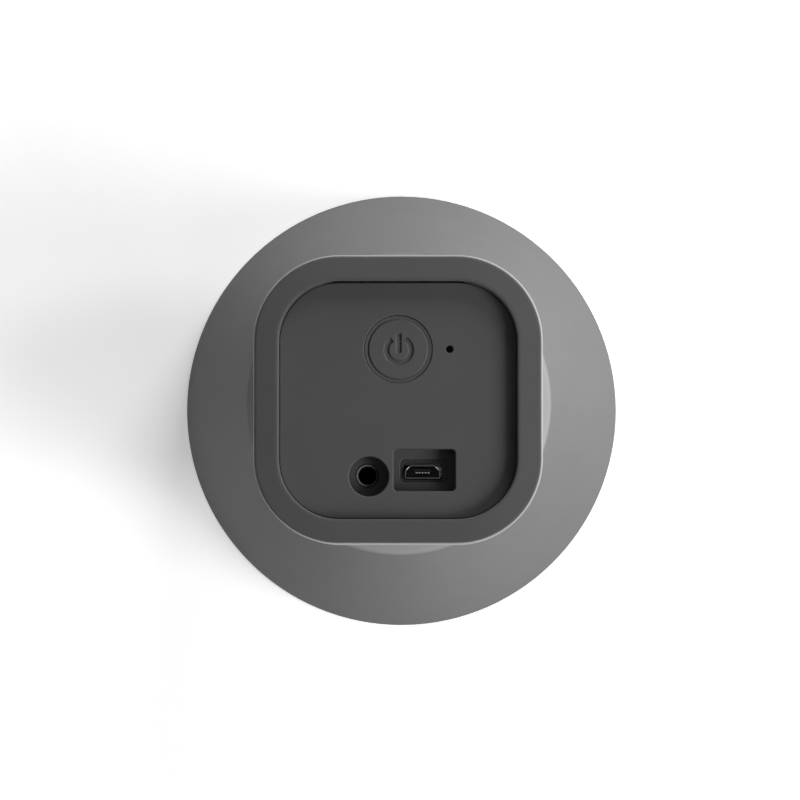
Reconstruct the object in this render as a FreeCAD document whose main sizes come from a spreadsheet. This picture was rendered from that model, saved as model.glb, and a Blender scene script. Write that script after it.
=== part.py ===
import FreeCAD, Part
import os

import Sketcher
from FreeCAD import Vector

# Portable wireless speaker, lying face down on its round front, in millimetres.
# +Z runs along the axis to the square foot, and the origin is the centre of the front rim's plane.
# Looking down on the control panel, +X is to the right and +Y is up.

SIZES = {
    # Housing
    "front_dia": 98.4,              # outside of the front rim
    "height": 70.0,                 # front rim to the top of the foot ring
    "shoulder_dia": 66.0,           # small end of the conical flank
    "neck_drop": 20.0,              # from the foot's top down to the shoulder
    "bevel_width": 2.4,             # sloping ledge between the flank and the neck
    "bevel_rise": 1.2,
    "shoulder_round": 2.0,
    "rim_round": 0.8,
    "neck_width": 62.0,
    "neck_corner": 18.4,
    "neck_wall": 1.5,
    "neck_round": 0.3,
    "shelf": 2.4,                   # width of the shelf that the control plate lies on
    "roof_drop": 1.0,               # from the shoulder down to the top of the cavity
    "wall": 3.0,                    # flank, measured level
    "rim_width": 4.2,               # front rim round the bore for the grille and the baffle
    "bore_depth": 9.0,
    "overcut": 1.0,                 # how far a cut runs past an open face
    # Foot ring and control plate
    "foot_step": 0.35,              # the ring stands back this far from the neck
    "foot_height": 3.4,
    "foot_proud": 1.1,              # how far the ring's lip stands above the neck's end
    "foot_band": 5.1,
    "foot_round": 0.45,
    "foot_flat": 0.8,               # level band that the speaker stands on
    "foot_fall": 0.55,              # how far the rest of the ring falls away outwards
    "foot_inner_round": 0.4,
    "recess_depth": 2.8,            # foot's top down to the panel
    "panel_thick": 2.0,
    "panel_round": 0.25,            # edge of the panel's holes and wells
    "panel_gap": 0.07,
    "panel_slit": 0.26,             # wider gap along the panel's upper side
    "plate_gap": 0.2,
    "plate_screw_inset": 8.0,       # screw axis in from the neck's side
    "plate_boss_dia": 6.0,
    "plate_boss_length": 13.0,
    # Power button and the parts behind it
    "button_y": 10.9,
    "button_hole_dia": 14.6,
    "button_cap_dia": 12.7,
    "button_groove": 0.25,          # depth of the ring step round the cap
    "button_gap": 0.15,
    "button_round": 0.12,
    "button_lip": 0.8,
    "button_lip_width": 0.9,
    "button_rest_gap": 0.15,
    "lamp_x": 11.0,
    "lamp_hole_dia": 1.6,
    "pipe_gap": 0.1,
    "pipe_drop": 0.8,               # panel's surface down to the end of the light pipe
    "pipe_collar_dia": 3.0,
    "pipe_collar": 0.6,
    "button_boss_dia": 4.6,
    "button_boss_length": 7.5,
    "button_boss_left": -11.5,
    "button_boss_right": 15.2,
    "button_board_margin": 2.6,     # board's edge beyond the boss axes
    "button_board_width": 11.0,
    "button_board_thick": 1.2,
    "switch_side": 6.0,
    "switch_height": 3.5,
    "switch_wall": 1.0,             # floor under the plunger
    "plunger_dia": 3.4,
    "plunger_gap": 0.1,
    "plunger_rise": 1.0,
    "plunger_depth": 1.4,
    "lamp_length": 2.0,
    "lamp_width": 1.4,
    "lamp_height": 0.9,
    # Sockets in their wells
    "well_depth": 4.0,
    "well_wall": 1.0,
    "well_floor": 1.0,
    "jack_x": -6.3,
    "jack_y": -16.4,
    "jack_port_x": -6.65,           # the socket stands a little off its well's middle
    "jack_port_y": -16.15,
    "jack_well_dia": 8.6,
    "jack_nose_dia": 4.8,
    "jack_nose_gap": 0.15,
    "jack_nose_proud": 0.2,
    "jack_nose_round": 0.15,
    "jack_bore_dia": 3.6,
    "jack_bore_depth": 12.0,
    "jack_width": 6.4,
    "jack_length": 12.5,
    "jack_rise": 2.3,               # jack's axis above the board it is soldered to
    "usb_x": 5.65,
    "usb_y": -15.05,
    "usb_port_x": 5.2,              # the socket stands a little off its well's middle
    "usb_well_width": 13.3,
    "usb_well_height": 9.0,
    "usb_well_corner": 0.9,
    "usb_step_width": 10.5,         # shallow step in the well's floor, round the socket
    "usb_step_height": 4.9,
    "usb_step_corner": 1.0,
    "usb_step_depth": 0.4,
    "usb_slot_gap": 0.2,            # hole for the socket's shell
    "usb_slot_corner": 0.6,
    "usb_width": 7.7,
    "usb_height": 3.0,
    "usb_slant": 1.2,
    "usb_sheet": 0.3,
    "usb_length": 5.6,
    "usb_proud": 0.2,
    "tongue_width": 3.7,
    "tongue_thick": 0.7,
    "tongue_rise": 0.25,            # above the shell's middle
    "tongue_length": 4.2,
    # Main board, its rails and the battery
    "board_width": 40.0,
    "board_clear": 6.6,             # driver's back to the board
    "board_thick": 1.2,
    "board_gap": 0.2,               # board's top edge below the wells
    "rail_width": 5.4,
    "rail_depth": 6.0,
    "rail_grip": 1.4,               # how far the board reaches into a rail
    "rail_gap": 0.1,
    "radio_width": 13.0,
    "radio_length": 8.5,
    "radio_height": 2.2,
    "radio_x": 9.5,
    "chip_side": 5.0,
    "chip_height": 1.0,
    "coil_side": 4.0,
    "coil_height": 2.6,
    "tape_thick": 1.0,
    "tape_inset": 1.0,
    "cell_width": 30.0,
    "cell_clear": 4.0,              # driver's back to the battery
    "cell_thick": 8.0,
    "cell_round": 2.0,
    # Grille and baffle
    "grille_setback": 0.8,
    "grille_sheet": 0.8,
    "grille_gap": 0.15,
    "grille_bend": 1.2,
    "hole_pitch": 7.4,
    "hole_width": 5.0,
    "cloth_thick": 0.3,
    "cloth_gap": 0.2,
    "baffle_gap": 0.3,
    "baffle_thick": 2.4,
    "baffle_screw_inset": 4.2,      # screw axis in from the bore
    "baffle_boss_dia": 6.4,
    "baffle_boss_length": 9.0,
    # Loudspeaker driver
    "basket_mouth_dia": 47.2,
    "mouth_gap": 1.0,               # basket to the edge of the baffle's hole
    "flange_width": 5.4,
    "flange_thick": 1.0,
    "flange_seat": 1.2,
    "flange_gap": 0.3,
    "gasket_thick": 0.5,
    "driver_screw_inset": 2.0,      # screw axis in from the flange's edge
    "driver_boss_dia": 5.6,
    "driver_boss_length": 6.0,
    "basket_wall": 1.0,
    "basket_depth": 12.7,           # flange's back to the basket's back
    "landing_drop": 3.0,            # basket's back up to the spider's landing
    "landing_dia": 37.0,
    "cup_dia": 31.0,
    "window_in_dia": 39.2,
    "window_out_dia": 44.4,
    "window_half_angle": 18.0,
    "window_count": 6.0,
    "top_plate_dia": 34.0,
    "top_plate_thick": 3.0,
    "gap_dia": 16.0,
    "magnet_dia": 37.0,
    "magnet_hole_dia": 20.0,
    "magnet_thick": 8.0,
    "yoke_thick": 3.0,
    "pole_dia": 13.2,
    "coil_dia": 14.0,               # inside of the voice coil's former
    "former_wall": 0.25,
    "winding_wall": 0.4,
    "winding_length": 6.0,
    "former_length": 11.0,
    "surround_lap": 0.3,            # the surround's roll ends this far over the flange
    "cone_depth": 7.2,
    "cone_wall": 0.5,
    "glue_gap": 0.05,
    "surround_width": 4.5,
    "surround_height": 1.9,
    "surround_wall": 0.5,
    "surround_land": 2.0,
    "spider_wall": 0.4,
    "spider_wave": 0.5,
    "spider_rise": 2.2,             # the spider's hub stands this far forward of its rim
    "cap_dia": 17.0,
    "cap_height": 2.8,
    "cap_wall": 0.4,
    "strip_width": 9.0,
    "strip_length": 6.5,
    "strip_thick": 1.0,
    # Screws
    "plate_screw_dia": 1.8,
    "plate_screw_head": 3.1,
    "plate_screw_length": 9.0,
    "baffle_screw_dia": 2.2,
    "baffle_screw_head": 4.4,
    "baffle_screw_length": 8.0,
    "driver_screw_dia": 2.0,
    "driver_screw_head": 3.6,
    "driver_screw_length": 6.0,
    "board_screw_dia": 1.8,
    "board_screw_head": 3.6,
    "board_screw_length": 5.0,
    "rail_screw_head": 5.6,
    "head_height": 1.3,
    "thread_gap": 0.05,
    "hole_gap": 0.2,
}

doc = FreeCAD.newDocument("speaker")
size = doc.addObject("Spreadsheet::Sheet", "size")
for row, (alias, value) in enumerate(SIZES.items(), start=1):
    size.set(f"A{row}", alias)
    size.set(f"B{row}", str(value))
    size.setAlias(f"B{row}", alias)
doc.recompute()

# Levels and radii that several pieces share, as expressions on the sheet
SHOULDER = "(size.height - size.neck_drop)"
NECK_HALF = "(size.neck_width / 2)"
NECK_END = "(size.height - size.foot_proud)"
BORDER_TOP = "(size.height - size.foot_height)"
PANEL_TOP = "(size.height - size.recess_depth)"
PLATE_IN = f"({PANEL_TOP} - size.panel_thick)"
SLOPE = f"((size.front_dia - size.shoulder_dia) / 2 / {SHOULDER})"
FOOT_HALF = f"({NECK_HALF} - size.foot_step)"
RECESS_HALF = f"({FOOT_HALF} - size.foot_band)"
RECESS_CORNER = "(size.neck_corner - size.foot_step - size.foot_band)"
SEAT_HALF = f"({NECK_HALF} - size.neck_wall)"
SEAT_CORNER = "(size.neck_corner - size.neck_wall)"
PLATE_SCREW = f"({NECK_HALF} - size.plate_screw_inset)"
WELL_FLOOR = f"({PANEL_TOP} - size.well_depth)"
WELL_UNDER = f"({WELL_FLOOR} - size.well_floor)"
BUTTON_BOARD = f"({PLATE_IN} - size.button_boss_length)"
SWITCH_TOP = f"({BUTTON_BOARD} + size.switch_height)"
BOARD_FACE = "(size.jack_port_y + size.jack_rise)"
USB_MIDDLE = f"({BOARD_FACE} - size.usb_height / 2)"
BOARD_TOP = f"({WELL_UNDER} - size.board_gap)"
RAIL_SCREW = "(size.board_width / 2 + (size.rail_width - size.rail_grip) / 2)"
BOARD_BACK = f"({BOARD_FACE} + size.board_thick)"
BORE_HALF = "(size.front_dia / 2 - size.rim_width)"
GRILLE_HALF = f"({BORE_HALF} - size.grille_gap)"
BAFFLE_FRONT = "(size.bore_depth - size.baffle_thick)"
MOUTH_HALF = "(size.basket_mouth_dia / 2)"
FLANGE_HALF = f"({MOUTH_HALF} + size.flange_width)"
DRIVER_HOLE = f"({MOUTH_HALF} + size.mouth_gap)"
FLANGE_BACK = f"({BAFFLE_FRONT} + size.flange_seat - size.gasket_thick)"
FLANGE_FRONT = f"({FLANGE_BACK} - size.flange_thick)"
BASKET_BACK = f"({FLANGE_BACK} + size.basket_depth)"
LANDING = f"({BASKET_BACK} - size.landing_drop)"
MAGNET_FRONT = f"({BASKET_BACK} + size.top_plate_thick)"
YOKE_FRONT = f"({MAGNET_FRONT} + size.magnet_thick)"
YOKE_BACK = f"({YOKE_FRONT} + size.yoke_thick)"
BOARD_BOTTOM = f"({YOKE_BACK} + size.board_clear)"
FORMER_HALF = "(size.coil_dia / 2 + size.former_wall)"
CONE_NECK = f"({FORMER_HALF} + size.glue_gap)"
COIL_END = f"({BASKET_BACK} + size.top_plate_thick / 2 + size.winding_length / 2)"
CORNERS = ((1, 1), (-1, 1), (-1, -1), (1, -1))

finished = []


def at(expression):
    """The number that an expression on the sheet gives."""
    return float(size.evalExpression(expression))


def keep(piece, label):
    """Name a finished sub-part, which also names its file."""
    piece.Label = label
    finished.append(piece)
    return piece


def new_body(name, x="0", y="0", z="0"):
    """A body at a place that follows the sheet."""
    body = doc.addObject("PartDesign::Body", name)
    for axis, expression in zip("xyz", (x, y, z)):
        body.setExpression(f"Placement.Base.{axis}", expression)
    return body


def new_sketch(body, plane="XY_Plane", level="0"):
    """A sketch on one of the body's own planes, raised to a level."""
    sketch = body.newObject("Sketcher::SketchObject", "sketch")
    support = [item for item in body.Origin.OriginFeatures if item.Role == plane][0]
    sketch.AttachmentSupport = (support, [""])
    sketch.MapMode = "FlatFace"
    sketch.setExpression("AttachmentOffset.Base.z", level)
    return sketch


def hold(sketch, kind, edge, end, expression):
    """Tie one point of an edge to a size, measured from the sketch's origin."""
    if expression == "0":
        axis = {"DistanceX": -2, "DistanceY": -1}[kind]
        sketch.addConstraint(Sketcher.Constraint("PointOnObject", edge, end, axis))
        return
    rule = sketch.addConstraint(Sketcher.Constraint(kind, -1, 1, edge, end, at(expression)))
    sketch.setExpression(f"Constraints[{rule}]", expression)


def polygon(sketch, points):
    """A closed outline of straight edges through points given as pairs of expressions."""
    first = sketch.GeometryCount
    count = len(points)
    places = [Vector(at(x), at(y), 0) for x, y in points]
    for i in range(count):
        sketch.addGeometry(Part.LineSegment(places[i], places[(i + 1) % count]), False)
    for i in range(count):
        following = first + (i + 1) % count
        sketch.addConstraint(Sketcher.Constraint("Coincident", first + i, 2, following, 1))
    for i, (x, y) in enumerate(points):
        hold(sketch, "DistanceX", first + i, 1, x)
        hold(sketch, "DistanceY", first + i, 1, y)


def circle(sketch, x, y, diameter):
    """A circle whose centre and diameter follow the sheet."""
    shape = Part.Circle(Vector(at(x), at(y), 0), Vector(0, 0, 1), at(diameter) / 2)
    edge = sketch.addGeometry(shape, False)
    hold(sketch, "DistanceX", edge, 3, x)
    hold(sketch, "DistanceY", edge, 3, y)
    rule = sketch.addConstraint(Sketcher.Constraint("Diameter", edge, at(diameter)))
    sketch.setExpression(f"Constraints[{rule}]", diameter)


def rounded_box(sketch, middle, half, corner):
    """A rectangle with round corners; middle and half are pairs of expressions."""
    (x, y), (a, b) = middle, half
    left, right = f"({x} - {a})", f"({x} + {a})"
    low, top = f"({y} - {b})", f"({y} + {b})"
    x0, x1, y0, y1, r = (at(side) for side in (left, right, low, top, corner))
    sides = (
        (Vector(x0 + r, y0, 0), Vector(x1 - r, y0, 0)),
        (Vector(x1, y0 + r, 0), Vector(x1, y1 - r, 0)),
        (Vector(x1 - r, y1, 0), Vector(x0 + r, y1, 0)),
        (Vector(x0, y1 - r, 0), Vector(x0, y0 + r, 0)),
    )
    centres = ((x1 - r, y0 + r), (x1 - r, y1 - r), (x0 + r, y1 - r), (x0 + r, y0 + r))
    turn = FreeCAD.Units.Quantity("90 deg").getValueAs("rad").Value
    for i, (start, end) in enumerate(sides):
        sketch.addGeometry(Part.LineSegment(start, end), False)
        round_corner = Part.Circle(Vector(*centres[i], 0), Vector(0, 0, 1), r)
        sketch.addGeometry(Part.ArcOfCircle(round_corner, (i - 1) * turn, i * turn), False)
    for i in range(8):
        sketch.addConstraint(Sketcher.Constraint("Tangent", i, 2, (i + 1) % 8, 1))
    for i, kind in enumerate(("Horizontal", "Vertical", "Horizontal", "Vertical")):
        sketch.addConstraint(Sketcher.Constraint(kind, 2 * i))
    for i in (3, 5, 7):
        sketch.addConstraint(Sketcher.Constraint("Equal", 1, i))
    rule = sketch.addConstraint(Sketcher.Constraint("Radius", 1, r))
    sketch.setExpression(f"Constraints[{rule}]", corner)
    hold(sketch, "DistanceY", 0, 1, low)
    hold(sketch, "DistanceX", 2, 1, right)
    hold(sketch, "DistanceY", 4, 1, top)
    hold(sketch, "DistanceX", 6, 1, left)


def pad(body, sketch, length, down=False):
    """Add the sketch's outline, upwards unless told otherwise."""
    feature = body.newObject("PartDesign::Pad", "pad")
    feature.Profile = sketch
    feature.setExpression("Length", length)
    feature.Reversed = down
    return feature


def pocket(body, sketch, depth, up=False):
    """Cut the sketch's outline away, downwards unless told otherwise."""
    feature = body.newObject("PartDesign::Pocket", "pocket")
    feature.Profile = sketch
    feature.setExpression("Length", depth)
    feature.Reversed = up
    return feature


def revolve(body, points):
    """Turn an outline of radius and height about the body's Z axis."""
    sketch = new_sketch(body, "XZ_Plane")
    polygon(sketch, points)
    feature = body.newObject("PartDesign::Revolution", "revolution")
    feature.Profile = sketch
    feature.ReferenceAxis = (sketch, ["V_Axis"])
    return feature


def edges_at(feature, level, radius=None, within=None, middle=(0, 0)):
    """Names of a feature's edges at one level: all, its circles of one radius or those near a middle."""
    doc.recompute()
    names = []
    for number, edge in enumerate(feature.Shape.Edges, start=1):
        box = edge.BoundBox
        if abs(box.ZMin - level) > 1e-4 or abs(box.ZMax - level) > 1e-4:
            continue
        if radius is not None and abs(getattr(edge.Curve, "Radius", 0) - radius) > 1e-4:
            continue
        x, y = middle
        reach = max(x - box.XMin, box.XMax - x, y - box.YMin, box.YMax - y)
        if within is not None and reach > within + 1e-4:
            continue
        names.append(f"Edge{number}")
    return names


def soften(body, feature, names, kind, expression):
    """Round or chamfer some edges of a feature."""
    edge_cut = body.newObject(f"PartDesign::{kind}", kind.lower())
    edge_cut.Base = (feature, names)
    edge_cut.setExpression("Radius" if kind == "Fillet" else "Size", expression)
    return edge_cut


def block(name, low, dims):
    """A rectangular piece from its low corner and its dimensions."""
    box = doc.addObject("Part::Box", name)
    for axis, expression in zip("xyz", low):
        box.setExpression(f"Placement.Base.{axis}", expression)
    for side, expression in zip(("Length", "Width", "Height"), dims):
        box.setExpression(side, expression)
    return box


def group(pieces, label):
    """Like pieces that share one node, as separate solids."""
    compound = doc.addObject("Part::Compound", label)
    compound.Links = pieces
    return keep(compound, label)


def screw(name, place, seat, head, shank, length, upward):
    """A pan head screw; seat is the face under its head, and it points up or down from there."""
    sign = "" if upward else "-"
    body = new_body(name, place[0], place[1], seat)
    head_end = f"{'-' if upward else ''}size.head_height"
    shank_half = f"({shank} / 2 - size.thread_gap)"
    revolve(body, [("0", head_end), (f"({head} / 2)", head_end), (f"({head} / 2)", "0"),
                   (shank_half, "0"), (shank_half, f"{sign}({length})"), ("0", f"{sign}({length})")])
    return body


def make_body_shell():
    """Conical housing with its shoulder bevel, square neck, bore, cavity and screw bosses."""
    outer = new_body("housing_outside")
    front = "(size.front_dia / 2)"
    shoulder = "(size.shoulder_dia / 2)"
    bevel_top = f"({SHOULDER} + size.bevel_rise)"
    cone = revolve(outer, [("0", "0"), (front, "0"), (shoulder, SHOULDER),
                           (f"({shoulder} - size.bevel_width)", bevel_top), ("0", bevel_top)])
    shoulder_edge = edges_at(cone, at(SHOULDER), at(shoulder))
    rounded = soften(outer, cone, shoulder_edge, "Fillet", "size.shoulder_round")
    rim_edge = edges_at(rounded, 0, at(front))
    soften(outer, rounded, rim_edge, "Fillet", "size.rim_round")
    neck = new_sketch(outer, level="size.bore_depth")
    rounded_box(neck, ("0", "0"), (NECK_HALF, NECK_HALF), "size.neck_corner")
    raised = pad(outer, neck, f"({NECK_END} - size.bore_depth)")
    soften(outer, raised, edges_at(raised, at(NECK_END)), "Fillet", "size.neck_round")

    hollow = new_body("housing_inside")
    cavity_top = f"({SHOULDER} - size.roof_drop)"
    bore = BORE_HALF
    inside_low = f"({front} - {SLOPE} * size.bore_depth - size.wall)"
    inside_high = f"({front} - {SLOPE} * {cavity_top} - size.wall)"
    revolve(hollow, [("0", "-size.overcut"), (bore, "-size.overcut"), (bore, "size.bore_depth"),
                     (inside_low, "size.bore_depth"), (inside_high, cavity_top), ("0", cavity_top)])
    opening_half = f"({SEAT_HALF} - size.shelf)"
    opening = new_sketch(hollow, level=f"({cavity_top} - size.plate_boss_length)")
    rounded_box(opening, ("0", "0"), (opening_half, opening_half), f"({SEAT_CORNER} - size.shelf)")
    pad(hollow, opening, f"({PLATE_IN} - {cavity_top} + size.plate_boss_length)")
    seat = new_sketch(hollow, level=PLATE_IN)
    rounded_box(seat, ("0", "0"), (SEAT_HALF, SEAT_HALF), SEAT_CORNER)
    pad(hollow, seat, f"({NECK_END} - {PLATE_IN} + size.overcut)")
    rear_bosses = new_sketch(hollow, level=PLATE_IN)
    rear_pilots = new_sketch(hollow, level=PLATE_IN)
    front_bosses = new_sketch(hollow, level="size.bore_depth")
    front_pilots = new_sketch(hollow, level="size.bore_depth")
    for i, j in CORNERS:
        x, y = f"({i} * {PLATE_SCREW})", f"({j} * {PLATE_SCREW})"
        circle(rear_bosses, x, y, "size.plate_boss_dia")
        circle(rear_pilots, x, y, "size.plate_screw_dia")
        x, y = baffle_screw_place(i, j)
        circle(front_bosses, x, y, "size.baffle_boss_dia")
        circle(front_pilots, x, y, "size.baffle_screw_dia")
    pocket(hollow, rear_bosses, "size.plate_boss_length")
    pad(hollow, rear_pilots, "size.plate_screw_length", down=True)
    pocket(hollow, front_bosses, "size.baffle_boss_length", up=True)
    pad(hollow, front_pilots, "size.baffle_screw_length")

    shell = doc.addObject("Part::Cut", "body_shell")
    shell.Base = outer
    shell.Tool = hollow
    keep(shell, "body_shell")


def baffle_screw_place(i, j):
    """Where a baffle screw stands, on the diagonals of its circle."""
    reach = f"({BORE_HALF} - size.baffle_screw_inset) / sqrt(2)"
    return f"({i} * {reach})", f"({j} * {reach})"


def driver_screw_place(i, j):
    """Where a driver screw stands, on the X and Y axes of its circle."""
    reach = f"({FLANGE_HALF} - size.driver_screw_inset) / 2"
    return f"(({i} + {j}) * {reach})", f"(({i} - {j}) * {reach})"


def make_foot_ring():
    """Rubber ring glued into the neck over the plate's border; its softened lip laps the neck's end."""
    ring = new_body("foot_ring")
    root = new_sketch(ring, level=BORDER_TOP)
    root_half = f"({SEAT_HALF} - size.plate_gap)"
    rounded_box(root, ("0", "0"), (root_half, root_half), f"({SEAT_CORNER} - size.plate_gap)")
    pad(ring, root, f"({NECK_END} - {BORDER_TOP})")
    outside = new_sketch(ring, level=NECK_END)
    rounded_box(outside, ("0", "0"), (FOOT_HALF, FOOT_HALF), "(size.neck_corner - size.foot_step)")
    slab = pad(ring, outside, "size.foot_proud")
    slope = soften(ring, slab, edges_at(slab, at("size.height")), "Chamfer", "size.foot_fall")
    slope.ChamferType = "Two distances"
    slope.setExpression("Size2", "(size.foot_band - size.foot_flat)")
    low_edges = edges_at(slope, at("size.height - size.foot_fall"))
    soften(ring, slope, low_edges, "Fillet", "size.foot_round")
    inside = new_sketch(ring, level="size.height")
    rounded_box(inside, ("0", "0"), (RECESS_HALF, RECESS_HALF), RECESS_CORNER)
    band = pocket(ring, inside, "size.foot_height")
    inner_edges = edges_at(band, at("size.height"), within=at(RECESS_HALF))
    soften(ring, band, inner_edges, "Fillet", "size.foot_inner_round")
    keep(ring, "foot_ring")


def make_control_plate():
    """Sunk panel on a border, with socket wells, button hole, board rails and bosses behind it."""
    plate = new_body("control_plate")
    middle = ("0", "0")
    border_half = f"({SEAT_HALF} - size.plate_gap)"
    border = new_sketch(plate, level=PLATE_IN)
    rounded_box(border, middle, (border_half, border_half), f"({SEAT_CORNER} - size.plate_gap)")
    pad(plate, border, f"({BORDER_TOP} - {PLATE_IN})")
    panel_half = f"({RECESS_HALF} - size.panel_gap)"
    panel = new_sketch(plate, level=PLATE_IN)
    rounded_box(panel, ("0", "-size.panel_slit / 2"), (panel_half, f"({panel_half} - size.panel_slit / 2)"),
                f"({RECESS_CORNER} - size.panel_gap)")
    pad(plate, panel, "size.panel_thick")

    jack_cup = new_sketch(plate, level=PLATE_IN)
    circle(jack_cup, "size.jack_x", "size.jack_y", "(size.jack_well_dia + 2 * size.well_wall)")
    pad(plate, jack_cup, f"({PLATE_IN} - {WELL_UNDER})", down=True)
    usb_cup = new_sketch(plate, level=PLATE_IN)
    usb_half = ("(size.usb_well_width / 2)", "(size.usb_well_height / 2)")
    cup_half = [f"({half} + size.well_wall)" for half in usb_half]
    rounded_box(usb_cup, ("size.usb_x", "size.usb_y"), cup_half, "(size.usb_well_corner + size.well_wall)")
    pad(plate, usb_cup, f"({PLATE_IN} - {WELL_UNDER})", down=True)
    bosses = new_sketch(plate, level=PLATE_IN)
    for x in ("size.button_boss_left", "size.button_boss_right"):
        circle(bosses, x, "size.button_y", "size.button_boss_dia")
    pad(plate, bosses, "size.button_boss_length", down=True)
    rails = new_sketch(plate, level=PLATE_IN)
    slots = new_sketch(plate, level=BOARD_BOTTOM)
    rail_low = f"({BOARD_FACE} + size.board_thick / 2 - size.rail_depth / 2)"
    rail_high = f"({rail_low} + size.rail_depth)"
    inner = "(size.board_width / 2 - size.rail_grip)"
    slot_end = "(size.board_width / 2 + size.rail_gap)"
    slot_low, slot_high = f"({BOARD_FACE} - size.rail_gap)", f"({BOARD_BACK} + size.rail_gap)"
    for side in (1, -1):
        near, far = f"({side} * {inner})", f"({side} * ({inner} + size.rail_width))"
        end = f"({side} * {slot_end})"
        polygon(rails, [(near, rail_low), (far, rail_low), (far, rail_high), (near, rail_high)])
        polygon(slots, [(near, slot_low), (end, slot_low), (end, slot_high), (near, slot_high)])
    pad(plate, rails, f"({PLATE_IN} - {BOARD_BOTTOM})", down=True)
    pocket(plate, slots, f"({BOARD_TOP} - {BOARD_BOTTOM})", up=True)

    button_hole = new_sketch(plate, level=PANEL_TOP)
    circle(button_hole, "0", "size.button_y", "size.button_hole_dia")
    circle(button_hole, "size.lamp_x", "size.button_y", "size.lamp_hole_dia")
    pocket(plate, button_hole, "size.panel_thick")
    jack_well = new_sketch(plate, level=PANEL_TOP)
    circle(jack_well, "size.jack_x", "size.jack_y", "size.jack_well_dia")
    pocket(plate, jack_well, "size.well_depth")
    usb_well = new_sketch(plate, level=PANEL_TOP)
    rounded_box(usb_well, ("size.usb_x", "size.usb_y"), usb_half, "size.usb_well_corner")
    pocket(plate, usb_well, "size.well_depth")
    nose_hole = new_sketch(plate, level=WELL_FLOOR)
    circle(nose_hole, "size.jack_port_x", "size.jack_port_y", "(size.jack_nose_dia + 2 * size.jack_nose_gap)")
    pocket(plate, nose_hole, "size.well_floor")
    usb_step = new_sketch(plate, level=WELL_FLOOR)
    step_half = ("(size.usb_step_width / 2)", "(size.usb_step_height / 2)")
    rounded_box(usb_step, ("size.usb_x", "size.usb_y"), step_half, "size.usb_step_corner")
    pocket(plate, usb_step, "size.usb_step_depth")
    usb_slot = new_sketch(plate, level=WELL_FLOOR)
    slot_half = ("(size.usb_width / 2 + size.usb_slot_gap)", "(size.usb_height / 2 + size.usb_slot_gap)")
    rounded_box(usb_slot, ("size.usb_port_x", USB_MIDDLE), slot_half, "size.usb_slot_corner")
    pocket(plate, usb_slot, "size.well_floor")
    pilots = new_sketch(plate, level=BUTTON_BOARD)
    for x in ("size.button_boss_left", "size.button_boss_right"):
        circle(pilots, x, "size.button_y", "size.board_screw_dia")
    pocket(plate, pilots, "size.board_screw_length", up=True)
    rail_pilots = new_sketch(plate, level=BOARD_BOTTOM)
    for side in (1, -1):
        circle(rail_pilots, f"({side} * {RAIL_SCREW})", f"({BOARD_FACE} + size.board_thick / 2)",
               "size.board_screw_dia")
    pocket(plate, rail_pilots, "size.board_screw_length", up=True)
    holes = new_sketch(plate, level=BORDER_TOP)
    for i, j in CORNERS:
        circle(holes, f"({i} * {PLATE_SCREW})", f"({j} * {PLATE_SCREW})",
               "(size.plate_screw_dia + 2 * size.hole_gap)")
    drilled = pocket(plate, holes, f"({BORDER_TOP} - {PLATE_IN})")
    mouths = edges_at(drilled, at(BORDER_TOP), at("size.plate_screw_dia / 2 + size.hole_gap"))
    sunk = soften(plate, drilled, mouths, "Chamfer", "((size.plate_screw_head - size.plate_screw_dia) / 2)")
    mouths = edges_at(sunk, at(PANEL_TOP), within=at(f"({panel_half} - size.panel_round)"))
    rounded = soften(plate, sunk, mouths, "Fillet", "size.panel_round")
    brim = edges_at(rounded, at(WELL_FLOOR), within=at(step_half[0]), middle=(size.usb_x, size.usb_y))
    soften(plate, rounded, brim, "Fillet", "size.panel_round")
    keep(plate, "control_plate")


def make_button():
    """Key cap with a ring groove, a lip behind the panel and a stem, over a small push switch."""
    cap = new_body("power_button", "0", "size.button_y")
    groove = f"({PANEL_TOP} - size.button_groove)"
    step = "(size.button_hole_dia / 2 - size.button_gap)"
    lip = "(size.button_hole_dia / 2 + size.button_lip_width)"
    lip_top = f"({PLATE_IN} - size.button_rest_gap)"
    lip_low = f"({lip_top} - size.button_lip)"
    plunger_top = f"({SWITCH_TOP} + size.plunger_rise)"
    stem = "(size.plunger_dia / 2)"
    face = "(size.button_cap_dia / 2)"
    turned = revolve(cap, [("0", plunger_top), (stem, plunger_top), (stem, lip_low), (lip, lip_low),
                           (lip, lip_top), (step, lip_top), (step, groove), (face, groove),
                           (face, PANEL_TOP), ("0", PANEL_TOP)])
    soften(cap, turned, edges_at(turned, at(PANEL_TOP)), "Fillet", "size.button_round")
    keep(cap, "power_button")

    plunger = new_body("switch_plunger", "0", "size.button_y")
    low = f"({SWITCH_TOP} - size.plunger_depth)"
    revolve(plunger, [("0", low), (stem, low), (stem, plunger_top), ("0", plunger_top)])
    keep(plunger, "switch_plunger")

    switch = new_body("switch_body", "0", "size.button_y")
    half = "(size.switch_side / 2)"
    base = new_sketch(switch, level=BUTTON_BOARD)
    polygon(base, [(f"-{half}", f"-{half}"), (half, f"-{half}"), (half, half), (f"-{half}", half)])
    pad(switch, base, "size.switch_height")
    well = new_sketch(switch, level=SWITCH_TOP)
    circle(well, "0", "0", "(size.plunger_dia + 2 * size.plunger_gap)")
    pocket(switch, well, "(size.switch_height - size.switch_wall)")
    keep(switch, "switch_body")


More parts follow.
